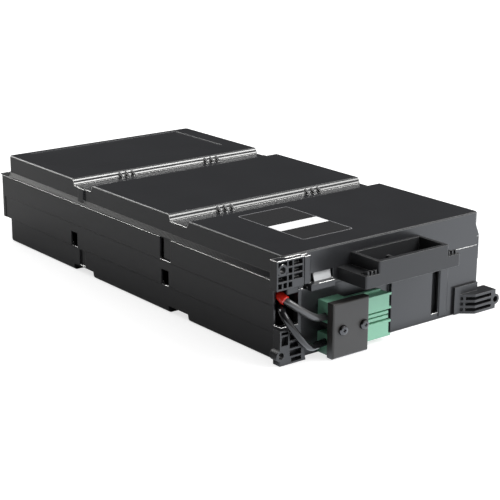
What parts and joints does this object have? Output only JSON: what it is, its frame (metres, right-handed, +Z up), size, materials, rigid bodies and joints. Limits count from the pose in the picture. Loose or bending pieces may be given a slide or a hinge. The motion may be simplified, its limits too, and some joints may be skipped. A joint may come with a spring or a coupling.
{
  "type": "ups battery cartridge",
  "caption": "Black moulded cartridge of sealed batteries with a front pull handle, a green two-pole plug under a screwed bracket and ribbed mounting ears.",
  "frame": {"origin": "centre of the base, on the middle foot pad", "axes": "+X to the right of the connector face, +Y from the connector face to the back, +Z up"},
  "size_m": [0.2024, 0.3901, 0.0725],
  "materials": {
    "case_black": "glossy moulded black ABS with fine moulded grain on the walls",
    "handle_black": "semi-gloss moulded black ABS",
    "flag_pale": "pale grey plastic",
    "battery_grey": "dark grey matt moulded case",
    "tinned_tab": "tinned blade",
    "grey_foam": "closed-cell foam",
    "receptacle_brass": "folded brass",
    "lead_black": "black cable sheath, satin",
    "sleeve_red": "bright red insulation",
    "plug_green": "green moulded polycarbonate, satin",
    "contact_silver": "silver-plated copper",
    "bracket_black": "black plastic with fine moulded grain",
    "screw_black": "black zinc-plated steel",
    "label_film": "black film label with a thin pale outline and a blank white bar"
  },
  "bodies": {
    "root": {"upper_cover": "case_black", "lower_tray": "case_black", "corner_ear": "case_black", "leg_ear": "case_black", "pull_handle": "handle_black", "label_flag": "flag_pale", "battery_front": "battery_grey", "battery_middle": "battery_grey", "battery_rear": "battery_grey", "battery_tabs_front": "tinned_tab", "battery_tabs_middle": "tinned_tab", "battery_tabs_rear": "tinned_tab", "foam_pad_front": "grey_foam", "foam_pad_middle": "grey_foam", "foam_pad_rear": "grey_foam", "lead_receptacles": "receptacle_brass", "series_lead_one": "lead_black", "series_lead_two": "lead_black", "positive_lead": "lead_black", "negative_lead": "lead_black", "red_sleeve": "sleeve_red", "plug_housing_lower": "plug_green", "plug_housing_upper": "plug_green", "plug_contact_lower": "contact_silver", "plug_contact_upper": "contact_silver", "connector_bracket": "bracket_black", "bracket_screws": "screw_black", "lid_label": "label_film"}
  },
  "joints": []
}
